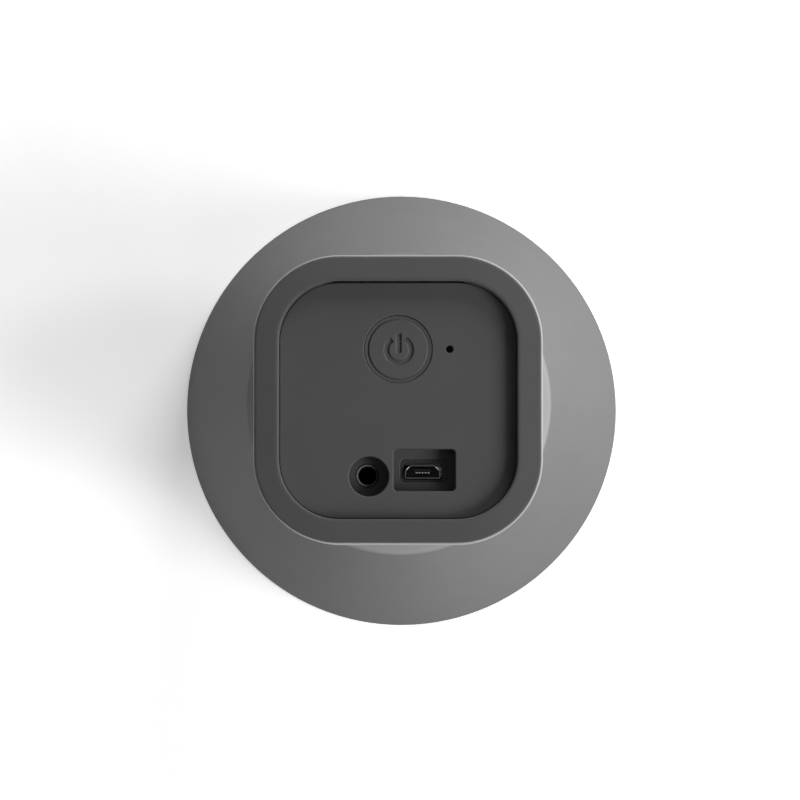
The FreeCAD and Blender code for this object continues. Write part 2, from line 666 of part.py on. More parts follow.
def make_button_board():
    """Small board on two bosses, with the switch and the status lamp below its light pipe."""
    board = new_body("button_board", "0", "size.button_y")
    left = "(size.button_boss_left - size.button_board_margin)"
    right = "(size.button_boss_right + size.button_board_margin)"
    half = "(size.button_board_width / 2)"
    outline = new_sketch(board, level=BUTTON_BOARD)
    polygon(outline, [(left, f"-{half}"), (right, f"-{half}"), (right, half), (left, half)])
    pad(board, outline, "size.button_board_thick", down=True)
    holes = new_sketch(board, level=BUTTON_BOARD)
    under = f"({BUTTON_BOARD} - size.button_board_thick)"
    screws = []
    for x in ("size.button_boss_left", "size.button_boss_right"):
        circle(holes, x, "0", "(size.board_screw_dia + 2 * size.hole_gap)")
        screws.append(screw("button_board_screw", (x, "size.button_y"), under, "size.board_screw_head",
                            "size.board_screw_dia", "size.board_screw_length", upward=True))
    pocket(board, holes, "size.button_board_thick")
    keep(board, "button_board")
    group(screws, "button_board_screws")

    lamp = block("status_lamp", ("size.lamp_x - size.lamp_length / 2", "size.button_y - size.lamp_width / 2",
                                 BUTTON_BOARD), ("size.lamp_length", "size.lamp_width", "size.lamp_height"))
    keep(lamp, "status_lamp")
    pipe = new_body("light_pipe", "size.lamp_x", "size.button_y")
    rod = "(size.lamp_hole_dia / 2 - size.pipe_gap)"
    collar = "(size.pipe_collar_dia / 2)"
    low = f"({BUTTON_BOARD} + size.lamp_height)"
    collar_low = f"({PLATE_IN} - size.pipe_collar)"
    top = f"({PANEL_TOP} - size.pipe_drop)"
    revolve(pipe, [("0", low), (rod, low), (rod, collar_low), (collar, collar_low), (collar, PLATE_IN),
                   (rod, PLATE_IN), (rod, top), ("0", top)])
    keep(pipe, "light_pipe")


def make_sockets():
    """Audio socket and micro-USB socket, both soldered to the main board's outer face."""
    jack = new_body("jack_socket", "size.jack_port_x", "size.jack_port_y")
    half = "(size.jack_width / 2)"
    case_low = f"({BOARD_TOP} - size.jack_length)"
    case = new_sketch(jack, level=case_low)
    polygon(case, [(f"-{half}", "-size.jack_rise"), (half, "-size.jack_rise"),
                   (half, "size.jack_rise"), (f"-{half}", "size.jack_rise")])
    pad(jack, case, "size.jack_length")
    nose_top = f"({WELL_FLOOR} + size.jack_nose_proud)"
    nose = new_sketch(jack, level=BOARD_TOP)
    circle(nose, "0", "0", "size.jack_nose_dia")
    pad(jack, nose, f"({nose_top} - {BOARD_TOP})")
    bore = new_sketch(jack, level=nose_top)
    circle(bore, "0", "0", "size.jack_bore_dia")
    bored = pocket(jack, bore, "size.jack_bore_depth")
    soften(jack, bored, edges_at(bored, at(nose_top)), "Fillet", "size.jack_nose_round")
    keep(jack, "jack_socket")

    mouth = f"({WELL_FLOOR} + size.usb_proud)"
    back = f"({mouth} - size.usb_length)"
    shell = new_body("usb_shell", "size.usb_port_x", USB_MIDDLE)
    outside = new_sketch(shell, level=back)
    polygon(outside, socket_outline("0"))
    pad(shell, outside, "size.usb_length")
    inside = new_sketch(shell, level=mouth)
    polygon(inside, socket_outline("size.usb_sheet"))
    pocket(shell, inside, "(size.usb_length - size.usb_sheet)")
    keep(shell, "usb_shell")
    tongue_low = f"{USB_MIDDLE} + size.tongue_rise - size.tongue_thick / 2"
    tongue = block("usb_tongue", ("size.usb_port_x - size.tongue_width / 2", tongue_low,
                                  f"{back} + size.usb_sheet"),
                   ("size.tongue_width", "size.tongue_thick", "size.tongue_length"))
    keep(tongue, "usb_tongue")


def socket_outline(inset):
    """Micro-USB outline with two slanted corners, drawn in by the sheet's thickness."""
    a, b = f"(size.usb_width / 2 - {inset})", f"(size.usb_height / 2 - {inset})"
    narrow = f"({a} - size.usb_slant)"
    return [(f"-{a}", f"-{b}"), (a, f"-{b}"), (a, f"({b} - size.usb_slant)"), (narrow, b),
            (f"-{narrow}", b), (f"-{a}", f"({b} - size.usb_slant)")]


def make_main_board():
    """Board held in the plate's rails, with its radio can, chips, taped battery and end screws."""
    half = "(size.board_width / 2)"
    board = block("main_board", (f"-{half}", BOARD_FACE, BOARD_BOTTOM),
                  ("size.board_width", "size.board_thick", f"{BOARD_TOP} - {BOARD_BOTTOM}"))
    keep(board, "main_board")
    radio = block("radio_module", ("size.radio_x - size.radio_width / 2", f"{BOARD_FACE} - size.radio_height",
                                   f"{BOARD_BOTTOM} + size.tape_inset"),
                  ("size.radio_width", "size.radio_height", "size.radio_length"))
    keep(radio, "radio_module")
    row = f"{BOARD_BOTTOM} + size.tape_inset"
    chip_x = "-size.board_width / 2 + size.rail_grip + size.tape_inset"
    coil_x = "size.jack_port_x + size.jack_width / 2 + size.tape_inset"
    chip = block("amplifier_chip", (chip_x, f"{BOARD_FACE} - size.chip_height", row),
                 ("size.chip_side", "size.chip_height", "size.chip_side"))
    coil = block("charger_coil", (coil_x, f"{BOARD_FACE} - size.coil_height", row),
                 ("size.coil_side", "size.coil_height", "size.coil_side"))
    group([chip, coil], "board_chips")

    tape = block("battery_tape", ("-size.cell_width / 2 + size.tape_inset", BOARD_BACK,
                                  f"{BOARD_BOTTOM} + size.tape_inset"),
                 ("size.cell_width - 2 * size.tape_inset", "size.tape_thick",
                  f"{BOARD_TOP} - {BOARD_BOTTOM} - 2 * size.tape_inset"))
    keep(tape, "battery_tape")
    cell = new_body("battery_cell", "0", f"{BOARD_BACK} + size.tape_thick + size.cell_thick / 2")
    cell_low = f"({YOKE_BACK} + size.cell_clear)"
    foot = new_sketch(cell, level=cell_low)
    rounded_box(foot, ("0", "0"), ("(size.cell_width / 2)", "(size.cell_thick / 2)"), "size.cell_round")
    pad(cell, foot, f"({BOARD_TOP} - {cell_low})")
    keep(cell, "battery_cell")
    screws = [screw("rail_screw", (f"({side} * {RAIL_SCREW})", f"({BOARD_FACE} + size.board_thick / 2)"),
                    BOARD_BOTTOM, "size.rail_screw_head", "size.board_screw_dia",
                    "size.board_screw_length", upward=True) for side in (1, -1)]
    group(screws, "rail_screws")


def make_baffle():
    """Disc in the front bore that carries the driver, with its foam gasket and both sets of screws."""
    baffle = new_body("front_baffle")
    edge = f"({BORE_HALF} - size.baffle_gap)"
    seat = f"({BAFFLE_FRONT} + size.flange_seat)"
    seat_half = f"({FLANGE_HALF} + size.flange_gap)"
    hole = DRIVER_HOLE
    revolve(baffle, [(seat_half, BAFFLE_FRONT), (edge, BAFFLE_FRONT), (edge, "size.bore_depth"),
                     (hole, "size.bore_depth"), (hole, seat), (seat_half, seat)])
    bosses = new_sketch(baffle, level=seat)
    pilots = new_sketch(baffle, level=seat)
    holes = new_sketch(baffle, level="size.bore_depth")
    baffle_screws = []
    driver_screws = []
    for i, j in CORNERS:
        place = driver_screw_place(i, j)
        circle(bosses, *place, "size.driver_boss_dia")
        circle(pilots, *place, "size.driver_screw_dia")
        driver_screws.append(screw("driver_screw", place, FLANGE_FRONT, "size.driver_screw_head",
                                   "size.driver_screw_dia", "size.driver_screw_length", upward=True))
        place = baffle_screw_place(i, j)
        circle(holes, *place, "(size.baffle_screw_dia + 2 * size.hole_gap)")
        baffle_screws.append(screw("baffle_screw", place, BAFFLE_FRONT, "size.baffle_screw_head",
                                   "size.baffle_screw_dia", "size.baffle_screw_length", upward=True))
    pad(baffle, bosses, "size.driver_boss_length")
    pocket(baffle, pilots, "(size.driver_screw_length)", up=True)
    pocket(baffle, holes, "size.baffle_thick")
    keep(baffle, "front_baffle")
    group(baffle_screws, "baffle_screws")
    group(driver_screws, "driver_screws")

    gasket = new_body("driver_gasket")
    outer = FLANGE_HALF
    revolve(gasket, [(hole, FLANGE_BACK), (outer, FLANGE_BACK), (outer, seat), (hole, seat)])
    drill_flange(gasket, seat, "size.gasket_thick")
    keep(gasket, "driver_gasket")


def drill_flange(body, level, depth):
    """Clearance holes for the driver screws."""
    holes = new_sketch(body, level=level)
    for i, j in CORNERS:
        circle(holes, *driver_screw_place(i, j), "(size.driver_screw_dia + 2 * size.hole_gap)")
    pocket(body, holes, depth)


def make_basket():
    """Stamped steel frame with windows, and the tag strip on the back of its landing."""
    basket = new_body("driver_basket")
    flange = FLANGE_HALF
    mouth = MOUTH_HALF
    landing = "(size.landing_dia / 2)"
    cup = "(size.cup_dia / 2)"
    hole = "(size.gap_dia / 2 + size.basket_wall)"
    sheet = "size.basket_wall"
    landing_back = f"({LANDING} + {sheet})"
    revolve(basket, [
        (f"({mouth} - {sheet})", FLANGE_FRONT), (flange, FLANGE_FRONT), (flange, FLANGE_BACK),
        (mouth, FLANGE_BACK), (landing, LANDING), (landing, landing_back), (cup, landing_back),
        (cup, BASKET_BACK), (hole, BASKET_BACK), (hole, f"({BASKET_BACK} - {sheet})"),
        (f"({cup} - {sheet})", f"({BASKET_BACK} - {sheet})"), (f"({cup} - {sheet})", LANDING),
        (f"({landing} - {sheet})", LANDING), (f"({mouth} - {sheet})", FLANGE_BACK)])
    drill_flange(basket, FLANGE_BACK, "size.flange_thick")
    window = new_sketch(basket, level=LANDING)
    across, along = "cos(size.window_half_angle)", "sin(size.window_half_angle)"
    near, far = "size.window_in_dia / 2", "size.window_out_dia / 2"
    polygon(window, [
        (f"({near} * {across})", f"(-{near} * {along})"), (f"({far} * {across})", f"(-{far} * {along})"),
        (f"({far} * {across})", f"({far} * {along})"), (f"({near} * {across})", f"({near} * {along})")])
    cut = pocket(basket, window, f"({LANDING} - {FLANGE_BACK})")
    doc.recompute()
    windows = basket.newObject("PartDesign::PolarPattern", "windows")
    windows.Originals = [cut]
    windows.Axis = ([item for item in basket.Origin.OriginFeatures if item.Role == "Z_Axis"][0], [""])
    windows.setExpression("Occurrences", "size.window_count")
    basket.Tip = windows
    keep(basket, "driver_basket")

    strip = block("terminal_strip", ("-size.strip_width / 2", f"{cup} + size.glue_gap", landing_back),
                  ("size.strip_width", "size.strip_length", "size.strip_thick"))
    keep(strip, "terminal_strip")


def ring(label, inner, outer, low, high):
    """A plain ring of rectangular section."""
    body = new_body(label)
    revolve(body, [(inner, low), (outer, low), (outer, high), (inner, high)])
    keep(body, label)


def make_motor():
    """Top plate, ring magnet and yoke, stacked on the back of the basket."""
    ring("driver_top_plate", "(size.gap_dia / 2)", "(size.top_plate_dia / 2)", BASKET_BACK, MAGNET_FRONT)
    ring("driver_magnet", "(size.magnet_hole_dia / 2)", "(size.magnet_dia / 2)", MAGNET_FRONT, YOKE_FRONT)
    yoke = new_body("driver_yoke")
    pole = "(size.pole_dia / 2)"
    plate = "(size.top_plate_dia / 2)"
    revolve(yoke, [("0", BASKET_BACK), (pole, BASKET_BACK), (pole, YOKE_FRONT), (plate, YOKE_FRONT),
                   (plate, YOKE_BACK), ("0", YOKE_BACK)])
    keep(yoke, "driver_yoke")


def make_moving_parts():
    """Voice coil, paper cone and dust cap, with the surround and spider that carry them."""
    coil = new_body("voice_coil")
    inner = "(size.coil_dia / 2)"
    winding = f"({FORMER_HALF} + size.winding_wall)"
    winding_low = f"({COIL_END} - size.winding_length)"
    former_low = f"({COIL_END} - size.former_length)"
    revolve(coil, [(inner, former_low), (FORMER_HALF, former_low), (FORMER_HALF, winding_low),
                   (winding, winding_low), (winding, COIL_END), (inner, COIL_END)])
    keep(coil, "voice_coil")

    cone = new_body("cone")
    edge = f"({MOUTH_HALF} - size.basket_wall + size.surround_lap - size.surround_width)"
    neck_level = f"({FLANGE_FRONT} + size.cone_depth)"
    revolve(cone, [(edge, FLANGE_FRONT), (edge, f"({FLANGE_FRONT} + size.cone_wall)"),
                   (CONE_NECK, f"({neck_level} + size.cone_wall)"), (CONE_NECK, neck_level)])
    keep(cone, "cone")

    cap = new_body("dust_cap")
    cap_half = "(size.cap_dia / 2)"
    lean = f"(size.cone_depth / ({edge} - {CONE_NECK}))"
    rim = f"({neck_level} - ({cap_half} - {CONE_NECK}) * {lean} - size.glue_gap)"
    crown = f"({rim} - size.cap_height)"
    skirt = f"({cap_half} - size.cap_wall)"
    shoulder = f"({cap_half} * 0.6)"
    bulge = f"({crown} + size.cap_height / 4)"
    revolve(cap, [("0", crown), (shoulder, bulge), (cap_half, rim), (skirt, rim),
                  (f"({shoulder} - size.cap_wall)", f"({bulge} + size.cap_wall)"),
                  ("0", f"({crown} + size.cap_wall)")])
    keep(cap, "dust_cap")

    surround = new_body("surround")
    back = FLANGE_FRONT
    front = f"({back} - size.surround_wall)"
    lap = f"({edge} - size.surround_land)"
    end = f"({edge} + size.surround_width)"
    rise = "(size.surround_width / 4)"
    top = f"({front} - size.surround_height)"
    under = f"({top} + size.surround_wall)"
    thick = "size.surround_wall"
    revolve(surround, [
        (lap, front), (edge, front), (f"({edge} + {rise})", top), (f"({end} - {rise})", top), (end, front),
        (f"({end} + size.surround_land)", front), (f"({end} + size.surround_land)", back),
        (f"({end} - {thick})", back), (f"({end} - {rise} - {thick} / 2)", under),
        (f"({edge} + {rise} + {thick} / 2)", under), (f"({edge} + {thick})", back), (lap, back)])
    keep(surround, "surround")

    spider = new_body("spider")
    outer = "(size.landing_dia / 2 - size.basket_wall - size.glue_gap)"
    hub = CONE_NECK
    pitch = f"(({outer} - {hub}) / 6)"
    flat = f"({LANDING} - size.spider_wall)"
    waves = [(f"({hub} + {i} * {pitch})", f"((5 - {i}) / 5 * size.spider_rise + {i % 2} * size.spider_wave)")
             for i in range(5)]
    waves += [(f"({outer} - {pitch})", "0"), (outer, "0")]
    lower = [(r, f"({flat} - {drop})") for r, drop in waves]
    upper = [(r, f"({LANDING} - {drop})") for r, drop in reversed(waves)]
    revolve(spider, lower + upper)
    keep(spider, "spider")


def make_grille():
    """Perforated steel cup pressed into the bore against the baffle, with a dust cloth inside."""
    cup = new_body("grille_cup")
    face = "size.grille_setback"
    inner_face = f"({face} + size.grille_sheet)"
    bend = "size.grille_bend"
    inner = f"({GRILLE_HALF} - size.grille_sheet)"
    pressed = revolve(cup, [("0", face), (GRILLE_HALF, face), (GRILLE_HALF, BAFFLE_FRONT),
                            (inner, BAFFLE_FRONT), (inner, inner_face), ("0", inner_face)])
    outer_bend = soften(cup, pressed, edges_at(pressed, at(face)), "Fillet", bend)
    inner_edge = edges_at(outer_bend, at(inner_face))
    soften(cup, outer_bend, inner_edge, "Fillet", f"({bend} - size.grille_sheet)")
    holes = doc.addObject("Part::Feature", "grille_holes")
    holes.Shape = Part.Compound(hexagon_field(at(face) - size.overcut, size.grille_sheet + 2 * size.overcut))
    grille = doc.addObject("Part::Cut", "grille")
    grille.Base = cup
    grille.Tool = holes
    keep(grille, "grille")
    cloth_half = f"({inner} - {bend} - size.cloth_gap)"
    cloth_back = f"({inner_face} + size.cloth_thick)"
    cloth = new_body("grille_cloth")
    revolve(cloth, [("0", inner_face), (cloth_half, inner_face), (cloth_half, cloth_back), ("0", cloth_back)])
    keep(cloth, "grille_cloth")


def hexagon_field(level, depth):
    """Six-sided prisms on a triangular grid, as many as fit on the grille's flat face."""
    turn = FreeCAD.Rotation(Vector(0, 0, 1), 60)
    limit = at(GRILLE_HALF) - size.grille_sheet - size.grille_bend - size.hole_width
    reach = int(limit / size.hole_pitch) + 1
    across = Vector(size.hole_pitch, 0, 0)
    slanted = turn.multVec(across)
    prisms = []
    for i in range(-reach, reach + 1):
        for j in range(-reach, reach + 1):
            centre = across * i + slanted * j + Vector(0, 0, level)
            if centre.x ** 2 + centre.y ** 2 > limit ** 2:
                continue
            corner = FreeCAD.Rotation(Vector(0, 0, 1), 30).multVec(Vector(size.hole_width / 3 ** 0.5, 0, 0))
            corners = []
            for _ in range(6):
                corners.append(centre + corner)
                corner = turn.multVec(corner)
            outline = Part.makePolygon(corners + corners[:1])
            prisms.append(Part.Face(outline).extrude(Vector(0, 0, depth)))
    return prisms


def make_plate_screws():
    """Four countersunk screws through the plate's border, hidden by the foot ring."""
    screws = []
    for i, j in CORNERS:
        body = new_body("plate_screw", f"({i} * {PLATE_SCREW})", f"({j} * {PLATE_SCREW})", BORDER_TOP)
        head = "(size.plate_screw_head / 2)"
        shank = "(size.plate_screw_dia / 2 - size.thread_gap)"
        end = f"({PLATE_IN} - {BORDER_TOP} - size.plate_screw_length + size.overcut)"
        revolve(body, [("0", "0"), (head, "0"), (shank, f"({shank} - {head})"), (shank, end), ("0", end)])
        screws.append(body)
    group(screws, "plate_screws")


make_body_shell()
make_foot_ring()
make_control_plate()
make_button()
make_button_board()
make_sockets()
make_main_board()
make_baffle()
make_basket()
make_motor()
make_moving_parts()
make_grille()
make_plate_screws()

doc.recompute()
for item in doc.Objects:
    if "Invalid" in item.State or "Error" in item.State:
        raise RuntimeError(f"{item.Name} failed: {item.State}")
for piece in finished:
    if piece.Shape.isNull() or not piece.Shape.isValid():
        raise RuntimeError(f"{piece.Label} has no valid shape")

os.makedirs("parts", exist_ok=True)
for piece in finished:
    piece.Shape.exportStep(f"parts/{piece.Label}.step")
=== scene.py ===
import math

import bmesh
import bpy
from mathutils import Matrix, Vector


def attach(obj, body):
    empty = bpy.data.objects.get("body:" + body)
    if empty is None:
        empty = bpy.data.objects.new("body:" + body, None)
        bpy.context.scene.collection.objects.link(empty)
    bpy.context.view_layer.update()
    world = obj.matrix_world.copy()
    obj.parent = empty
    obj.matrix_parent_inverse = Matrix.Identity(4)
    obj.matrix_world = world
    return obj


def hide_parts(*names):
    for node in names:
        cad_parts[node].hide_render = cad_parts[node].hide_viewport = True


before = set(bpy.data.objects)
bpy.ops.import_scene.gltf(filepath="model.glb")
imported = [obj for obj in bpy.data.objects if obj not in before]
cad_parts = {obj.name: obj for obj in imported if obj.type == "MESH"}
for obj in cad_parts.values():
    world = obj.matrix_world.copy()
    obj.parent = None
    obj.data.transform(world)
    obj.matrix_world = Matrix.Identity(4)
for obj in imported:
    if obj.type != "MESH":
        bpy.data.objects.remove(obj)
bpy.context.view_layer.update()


# Housing: a hollow cone with a rounded square neck, moulded in one piece from light grey plastic.
# The flank has a matte mid-grey coat that ends at the ledge. The ledge and the neck are left bare,
# and the edge at the neck's end carries a painted highlight, a lighter band in its colour.
millimetre = 0.001
flank_grey = (0.194, 0.194, 0.195)
bare_grey, highlight_grey = (0.34, 0.34, 0.341, 1), (0.48, 0.48, 0.48, 1)
coat_end, coat_fade, coat_tilt = 49.85, 0.5, Vector((0.008, -0.005, 1))
highlight_start, highlight_end = 68.35, 68.7
bare_polish = -0.4


def moulded_grain():
    group = bpy.data.node_groups.new("moulded_grain", "ShaderNodeTree")
    group.interface.new_socket("Scale", in_out="INPUT", socket_type="NodeSocketFloat")
    group.interface.new_socket("Height", in_out="OUTPUT", socket_type="NodeSocketFloat")
    group.interface.new_socket("Mottle", in_out="OUTPUT", socket_type="NodeSocketFloat")
    nodes, links = group.nodes, group.links
    inputs, outputs = nodes.new("NodeGroupInput"), nodes.new("NodeGroupOutput")
    place = nodes.new("ShaderNodeTexCoord")
    pits = nodes.new("ShaderNodeTexNoise")
    pits.inputs["Detail"].default_value = 4
    pits.inputs["Roughness"].default_value = 0.6
    clouds = nodes.new("ShaderNodeTexNoise")
    clouds.inputs["Scale"].default_value = 110
    clouds.inputs["Detail"].default_value = 5
    links.new(place.outputs["Object"], pits.inputs["Vector"])
    links.new(inputs.outputs["Scale"], pits.inputs["Scale"])
    links.new(place.outputs["Object"], clouds.inputs["Vector"])
    links.new(pits.outputs["Fac"], outputs.inputs["Height"])
    links.new(clouds.outputs["Fac"], outputs.inputs["Mottle"])
    return group


grain = moulded_grain()


def moulded(name, colour, roughness, scale=4200, depth=0.04, spread=0.05, shine=0.5):
    polish_range, bump_strength = 0.07, 0.4
    material = bpy.data.materials.new(name)
    material.use_nodes = True
    nodes, links = material.node_tree.nodes, material.node_tree.links
    shader = nodes["Principled BSDF"]
    shader.inputs["Specular IOR Level"].default_value = shine
    texture = nodes.new("ShaderNodeGroup")
    texture.node_tree = grain
    texture.inputs["Scale"].default_value = scale
    tint = nodes.new("ShaderNodeMix")
    tint.name = "tint"
    tint.data_type = "RGBA"
    tint.inputs["A"].default_value = [c * (1 - spread) for c in colour] + [1]
    tint.inputs["B"].default_value = [c * (1 + spread) for c in colour] + [1]
    links.new(texture.outputs["Mottle"], tint.inputs["Factor"])
    links.new(tint.outputs["Result"], shader.inputs["Base Color"])
    polish = nodes.new("ShaderNodeMapRange")
    polish.name = "polish"
    polish.inputs["To Min"].default_value = roughness - polish_range
    polish.inputs["To Max"].default_value = roughness + polish_range
    links.new(texture.outputs["Height"], polish.inputs["Value"])
    links.new(polish.outputs["Result"], shader.inputs["Roughness"])
    bump = nodes.new("ShaderNodeBump")
    bump.inputs["Strength"].default_value = bump_strength
    bump.inputs["Distance"].default_value = depth * millimetre
    links.new(texture.outputs["Height"], bump.inputs["Height"])
    links.new(bump.outputs["Normal"], shader.inputs["Normal"])
    return material


def dress(material, *names):
    for name in names:
        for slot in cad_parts[name].material_slots:
            slot.material = material


housing = moulded("housing_coat", flank_grey, roughness=0.85, scale=5200, shine=0.1)
nodes, links = housing.node_tree.nodes, housing.node_tree.links
shader = nodes["Principled BSDF"]
place = nodes.new("ShaderNodeTexCoord")
rise = nodes.new("ShaderNodeVectorMath")
rise.operation = "DOT_PRODUCT"
rise.inputs[1].default_value = coat_tilt
uncoated = nodes.new("ShaderNodeMapRange")
uncoated.inputs["From Min"].default_value = (coat_end - coat_fade) * millimetre
uncoated.inputs["From Max"].default_value = (coat_end + coat_fade) * millimetre
links.new(place.outputs["Object"], rise.inputs[0])
links.new(rise.outputs["Value"], uncoated.inputs["Value"])
# Painted highlight: the band along the edge at the neck's end is painted lighter.
height = nodes.new("ShaderNodeSeparateXYZ")
painted_highlight = nodes.new("ShaderNodeMapRange")
painted_highlight.inputs["From Min"].default_value = highlight_start * millimetre
painted_highlight.inputs["From Max"].default_value = highlight_end * millimetre
edge = nodes.new("ShaderNodeMix")
edge.data_type = "RGBA"
edge.inputs["A"].default_value = bare_grey
edge.inputs["B"].default_value = highlight_grey
links.new(place.outputs["Object"], height.inputs["Vector"])
links.new(height.outputs["Z"], painted_highlight.inputs["Value"])
links.new(painted_highlight.outputs["Result"], edge.inputs["Factor"])
bare = nodes.new("ShaderNodeMix")
bare.data_type = "RGBA"
links.new(uncoated.outputs["Result"], bare.inputs["Factor"])
links.new(nodes["tint"].outputs["Result"], bare.inputs["A"])
links.new(edge.outputs["Result"], bare.inputs["B"])
links.new(bare.outputs["Result"], shader.inputs["Base Color"])
sheen = nodes.new("ShaderNodeMath")
sheen.operation = "MULTIPLY_ADD"
sheen.inputs[1].default_value = bare_polish
links.new(uncoated.outputs["Result"], sheen.inputs[0])
links.new(nodes["polish"].outputs["Result"], sheen.inputs[2])
links.new(sheen.outputs["Value"], shader.inputs["Roughness"])
dress(housing, "body_shell")


# Baffle: a black plastic disc that closes the front bore and carries the loudspeaker on a foam gasket.
# Screws hold it to the housing's bosses, and more hold the loudspeaker to it. All screws are zinc plated.
def drawn_streaks():
    group = bpy.data.node_groups.new("drawn_streaks", "ShaderNodeTree")
    group.interface.new_socket("Stretch", in_out="INPUT", socket_type="NodeSocketVector")
    group.interface.new_socket("Scale", in_out="INPUT", socket_type="NodeSocketFloat")
    group.interface.new_socket("Streaks", in_out="OUTPUT", socket_type="NodeSocketFloat")
    nodes, links = group.nodes, group.links
    inputs, outputs = nodes.new("NodeGroupInput"), nodes.new("NodeGroupOutput")
    place = nodes.new("ShaderNodeTexCoord")
    drawn = nodes.new("ShaderNodeMapping")
    scratches = nodes.new("ShaderNodeTexNoise")
    scratches.inputs["Detail"].default_value = 3
    links.new(place.outputs["Object"], drawn.inputs["Vector"])
    links.new(inputs.outputs["Stretch"], drawn.inputs["Scale"])
    links.new(drawn.outputs["Vector"], scratches.inputs["Vector"])
    links.new(inputs.outputs["Scale"], scratches.inputs["Scale"])
    links.new(scratches.outputs["Fac"], outputs.inputs["Streaks"])
    return group


streaks = drawn_streaks()


def plated(name, colour, roughness, streak=700, stretch=(1, 1, 0.04)):
    dull_share, polish_range, bump_strength, bump_depth = 0.85, 0.08, 0.2, 0.01
    material = bpy.data.materials.new(name)
    material.use_nodes = True
    nodes, links = material.node_tree.nodes, material.node_tree.links
    shader = nodes["Principled BSDF"]
    shader.inputs["Metallic"].default_value = 1
    texture = nodes.new("ShaderNodeGroup")
    texture.node_tree = streaks
    texture.inputs["Stretch"].default_value = stretch
    texture.inputs["Scale"].default_value = streak
    tint = nodes.new("ShaderNodeMix")
    tint.data_type = "RGBA"
    tint.inputs["A"].default_value = [c * dull_share for c in colour] + [1]
    tint.inputs["B"].default_value = list(colour) + [1]
    links.new(texture.outputs["Streaks"], tint.inputs["Factor"])
    links.new(tint.outputs["Result"], shader.inputs["Base Color"])
    polish = nodes.new("ShaderNodeMapRange")
    polish.inputs["To Min"].default_value = roughness - polish_range
    polish.inputs["To Max"].default_value = roughness + polish_range
    links.new(texture.outputs["Streaks"], polish.inputs["Value"])
    links.new(polish.outputs["Result"], shader.inputs["Roughness"])
    bump = nodes.new("ShaderNodeBump")
    bump.inputs["Strength"].default_value = bump_strength
    bump.inputs["Distance"].default_value = bump_depth * millimetre
    links.new(texture.outputs["Streaks"], bump.inputs["Height"])
    links.new(bump.outputs["Normal"], shader.inputs["Normal"])
    return material


dress(moulded("baffle_plastic", (0.045, 0.045, 0.047), roughness=0.6), "front_baffle")
dress(moulded("gasket_foam", (0.03, 0.03, 0.03), roughness=0.9, scale=1600, depth=0.15), "driver_gasket")
dress(plated("screw_zinc", (0.35, 0.35, 0.36), roughness=0.38), "baffle_screws", "driver_screws",
      "plate_screws", "button_board_screws", "rail_screws")


# Loudspeaker frame and motor: a coated steel basket, a zinc plated top plate and yoke, and a ground
# ferrite ring between them. The tag strip for the leads is riveted to the basket's back.
dress(moulded("basket_coat", (0.05, 0.05, 0.052), roughness=0.42, scale=2600), "driver_basket")
dress(plated("motor_zinc", (0.55, 0.55, 0.53), roughness=0.34, streak=260, stretch=(1, 1, 1)),
      "driver_top_plate", "driver_yoke")
dress(moulded("magnet_ferrite", (0.045, 0.045, 0.047), roughness=0.5, scale=900, depth=0.03, spread=0.2),
      "driver_magnet")
dress(moulded("strip_laminate", (0.25, 0.16, 0.09), roughness=0.55, scale=1500, spread=0.15),
      "terminal_strip")


# Moving parts: a pressed pulp cone and dust cap glued to the coil's former, hung from a rubber surround
# and a resin stiffened cloth spider.
def cloth_weave():
    group = bpy.data.node_groups.new("cloth_weave", "ShaderNodeTree")
    group.interface.new_socket("Scale", in_out="INPUT", socket_type="NodeSocketFloat")
    group.interface.new_socket("Threads", in_out="OUTPUT", socket_type="NodeSocketFloat")
    nodes, links = group.nodes, group.links
    inputs, outputs = nodes.new("NodeGroupInput"), nodes.new("NodeGroupOutput")
    place = nodes.new("ShaderNodeTexCoord")
    crossing = nodes.new("ShaderNodeMath")
    crossing.operation = "MAXIMUM"
    for socket, way in zip(crossing.inputs, ("X", "Y")):
        thread = nodes.new("ShaderNodeTexWave")
        thread.wave_type = "BANDS"
        thread.bands_direction = way
        thread.inputs["Distortion"].default_value = 0.6
        thread.inputs["Detail"].default_value = 1
        links.new(place.outputs["Object"], thread.inputs["Vector"])
        links.new(inputs.outputs["Scale"], thread.inputs["Scale"])
        links.new(thread.outputs["Fac"], socket)
    links.new(crossing.outputs["Value"], outputs.inputs["Threads"])
    return group


threads = cloth_weave()


def weave(name, colour, pitch, roughness):
    band_at_scale_one, gap_share, bump_strength, thread_depth = 314, 0.4, 0.6, 0.08
    material = bpy.data.materials.new(name)
    material.use_nodes = True
    nodes, links = material.node_tree.nodes, material.node_tree.links
    shader = nodes["Principled BSDF"]
    shader.inputs["Roughness"].default_value = roughness
    texture = nodes.new("ShaderNodeGroup")
    texture.node_tree = threads
    texture.inputs["Scale"].default_value = band_at_scale_one / pitch
    tint = nodes.new("ShaderNodeMix")
    tint.data_type = "RGBA"
    tint.inputs["A"].default_value = [c * gap_share for c in colour] + [1]
    tint.inputs["B"].default_value = list(colour) + [1]
    links.new(texture.outputs["Threads"], tint.inputs["Factor"])
    links.new(tint.outputs["Result"], shader.inputs["Base Color"])
    bump = nodes.new("ShaderNodeBump")
    bump.inputs["Strength"].default_value = bump_strength
    bump.inputs["Distance"].default_value = thread_depth * millimetre
    links.new(texture.outputs["Threads"], bump.inputs["Height"])
    links.new(bump.outputs["Normal"], shader.inputs["Normal"])
    return material


dress(moulded("cone_pulp", (0.045, 0.045, 0.045), roughness=0.85, scale=1100, depth=0.12, spread=0.25),
      "cone", "dust_cap")
dress(moulded("surround_rubber", (0.025, 0.025, 0.026), roughness=0.55, scale=3000), "surround")
dress(weave("spider_cloth", (0.40, 0.28, 0.14), pitch=0.6, roughness=0.8), "spider")
dress(plated("coil_copper", (0.62, 0.29, 0.15), roughness=0.35, streak=900, stretch=(0.05, 0.05, 1)),
      "voice_coil")


